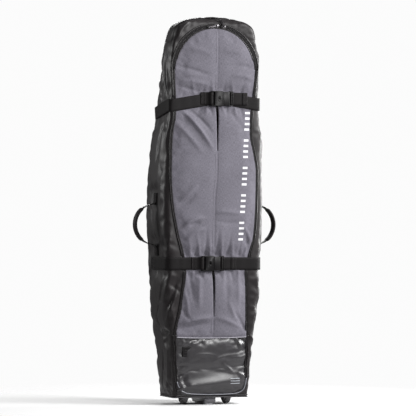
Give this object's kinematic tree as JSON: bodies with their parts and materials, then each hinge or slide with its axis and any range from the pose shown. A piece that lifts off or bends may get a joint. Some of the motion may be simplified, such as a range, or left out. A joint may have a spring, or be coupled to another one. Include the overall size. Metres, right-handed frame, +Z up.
{
  "type": "wheeled board bag",
  "caption": "Upright wheeled bag for boards: padded shell, zipped lid with fold-down flap, cinch straps with side-release buckles, side handles, moulded base.",
  "frame": {"origin": "on the plane of the wheels and foot, under the middle of the bag's width and on the bag's depth line through the side handles", "axes": "+Z up along the bag's height; the lid faces -Y; the wheel axles lie along X"},
  "size_m": [0.6016, 0.272, 1.5562],
  "materials": {
    "heather_canvas": "heather weave, matte",
    "black_canvas": "coated nylon, slight sheen",
    "coated_tarpaulin": "glossy coated cloth",
    "foam_sheet": "closed-cell padding sheet",
    "webbing": "ribbed flat webbing",
    "grip_sleeve": "padded sleeve",
    "zip_chain": "coil chain on woven tape",
    "zip_metal": "gunmetal",
    "buckle_plastic": "moulded acetal",
    "piping": "smooth piping",
    "base_plastic": "textured moulding",
    "runner_plastic": "smooth wear strip",
    "steel": "zinc plated",
    "tyre_rubber": "cast urethane",
    "hub_plastic": "moulded nylon"
  },
  "bodies": {
    "bag": {"left_gusset": "black_canvas", "right_gusset": "black_canvas", "crown_panel": "black_canvas", "back_panel": "black_canvas", "lid_left_panel": "heather_canvas", "lid_right_panel": "heather_canvas", "boot_panel": "coated_tarpaulin", "back_foam": "foam_sheet", "left_foam": "foam_sheet", "right_foam": "foam_sheet", "arch_zip": "zip_chain", "left_side_zip": "zip_chain", "right_side_zip": "zip_chain", "upper_strap_left": "webbing", "upper_strap_right": "webbing", "lower_strap_left": "webbing", "lower_strap_right": "webbing", "upper_buckle_socket": "buckle_plastic", "lower_buckle_socket": "buckle_plastic", "left_anchors": "webbing", "right_anchors": "webbing", "corner_patches": "coated_tarpaulin", "boot_badge": "coated_tarpaulin", "boot_piping": "piping", "base_tray": "base_plastic", "base_board": "base_plastic", "left_wheel_housing": "base_plastic", "right_wheel_housing": "base_plastic", "skid_foot": "base_plastic", "wear_strip": "runner_plastic", "base_fasteners": "steel", "left_axle": "steel", "right_axle": "steel"},
    "flap": {"flap_left_panel": "heather_canvas", "flap_right_panel": "heather_canvas", "flap_zip": "zip_chain"},
    "left_slider": {"left_slider": "zip_metal"},
    "right_slider": {"right_slider": "zip_metal"},
    "left_pull": {"left_pull": "zip_metal"},
    "right_pull": {"right_pull": "zip_metal"},
    "left_wheel": {"left_tyre": "tyre_rubber", "left_hub": "hub_plastic", "left_bearings": "steel"},
    "right_wheel": {"right_tyre": "tyre_rubber", "right_hub": "hub_plastic", "right_bearings": "steel"},
    "left_handle": {"left_handle": "webbing", "left_grip": "grip_sleeve"},
    "right_handle": {"right_handle": "webbing", "right_grip": "grip_sleeve"},
    "haul_loop": {"haul_loop": "webbing"},
    "upper_plug": {"upper_buckle_plug": "buckle_plastic", "upper_strap_tail": "webbing"},
    "lower_plug": {"lower_buckle_plug": "buckle_plastic", "lower_strap_tail": "webbing"},
    "upper_prong_top": {"upper_prong_top": "buckle_plastic"},
    "upper_prong_bottom": {"upper_prong_bottom": "buckle_plastic"},
    "lower_prong_top": {"lower_prong_top": "buckle_plastic"},
    "lower_prong_bottom": {"lower_prong_bottom": "buckle_plastic"}
  },
  "joints": [
    {"name": "flap_fold", "type": "hinge", "parent": "bag", "child": "flap", "pos_m": [0, -0.114, 1.34], "axis": [1, 0, 0], "range_deg": [0, 120]},
    {"name": "left_slider_travel", "type": "hinge", "parent": "flap", "child": "left_slider", "pos_m": [0, -0.111, 1.34], "axis": [0, 1, 0], "range_deg": [-71, 0]},
    {"name": "right_slider_travel", "type": "hinge", "parent": "flap", "child": "right_slider", "pos_m": [0, -0.111, 1.34], "axis": [0, 1, 0], "range_deg": [0, 59]},
    {"name": "left_pull_swing", "type": "hinge", "parent": "left_slider", "child": "left_pull", "pos_m": [0.00304, -0.1209, 1.51397], "axis": [-0.2079, 0, 0.9781], "range_deg": [0, 110]},
    {"name": "right_pull_swing", "type": "hinge", "parent": "right_slider", "child": "right_pull", "pos_m": [0.0332, -0.1209, 1.5108], "axis": [0.9135, 0, 0.4067], "range_deg": [0, 150]},
    {"name": "left_wheel_spin", "type": "hinge", "parent": "bag", "child": "left_wheel", "pos_m": [-0.091, -0.01, 0.038], "axis": [1, 0, 0], "continuous": true},
    {"name": "right_wheel_spin", "type": "hinge", "parent": "bag", "child": "right_wheel", "pos_m": [0.091, -0.01, 0.038], "axis": [1, 0, 0], "continuous": true},
    {"name": "left_handle_swing", "type": "hinge", "parent": "bag", "child": "left_handle", "pos_m": [-0.221, 0, 0.7205], "axis": [0, 0, 1], "range_deg": [-40, 40]},
    {"name": "right_handle_swing", "type": "hinge", "parent": "bag", "child": "right_handle", "pos_m": [0.221, 0, 0.7205], "axis": [0, 0, 1], "range_deg": [-40, 40]},
    {"name": "haul_loop_swing", "type": "hinge", "parent": "bag", "child": "haul_loop", "pos_m": [0, -0.065, 1.545], "axis": [1, 0, 0], "range_deg": [-30, 30]},
    {"name": "upper_buckle_release", "type": "slide", "parent": "bag", "child": "upper_plug", "axis": [1, 0, 0], "range_m": [0, 0.04]},
    {"name": "upper_squeeze_top", "type": "hinge", "parent": "upper_plug", "child": "upper_prong_top", "pos_m": [0.0328, -0.121, 1.238], "axis": [0, 1, 0], "range_deg": [-6, 0]},
    {"name": "upper_squeeze_bottom", "type": "hinge", "parent": "upper_plug", "child": "upper_prong_bottom", "pos_m": [0.0328, -0.121, 1.21], "axis": [0, 1, 0], "range_deg": [0, 6]},
    {"name": "lower_buckle_release", "type": "slide", "parent": "bag", "child": "lower_plug", "axis": [1, 0, 0], "range_m": [0, 0.04]},
    {"name": "lower_squeeze_top", "type": "hinge", "parent": "lower_plug", "child": "lower_prong_top", "pos_m": [-0.0022, -0.121, 0.58], "axis": [0, 1, 0], "range_deg": [-6, 0]},
    {"name": "lower_squeeze_bottom", "type": "hinge", "parent": "lower_plug", "child": "lower_prong_bottom", "pos_m": [-0.0022, -0.121, 0.552], "axis": [0, 1, 0], "range_deg": [0, 6]}
  ],
  "couplings": [
    {"joint": "left_slider_travel", "follows": "flap_fold", "ratio": -0.5916},
    {"joint": "right_slider_travel", "follows": "flap_fold", "ratio": 0.4916},
    {"joint": "upper_squeeze_bottom", "follows": "upper_squeeze_top", "ratio": -1},
    {"joint": "lower_squeeze_bottom", "follows": "lower_squeeze_top", "ratio": -1}
  ]
}
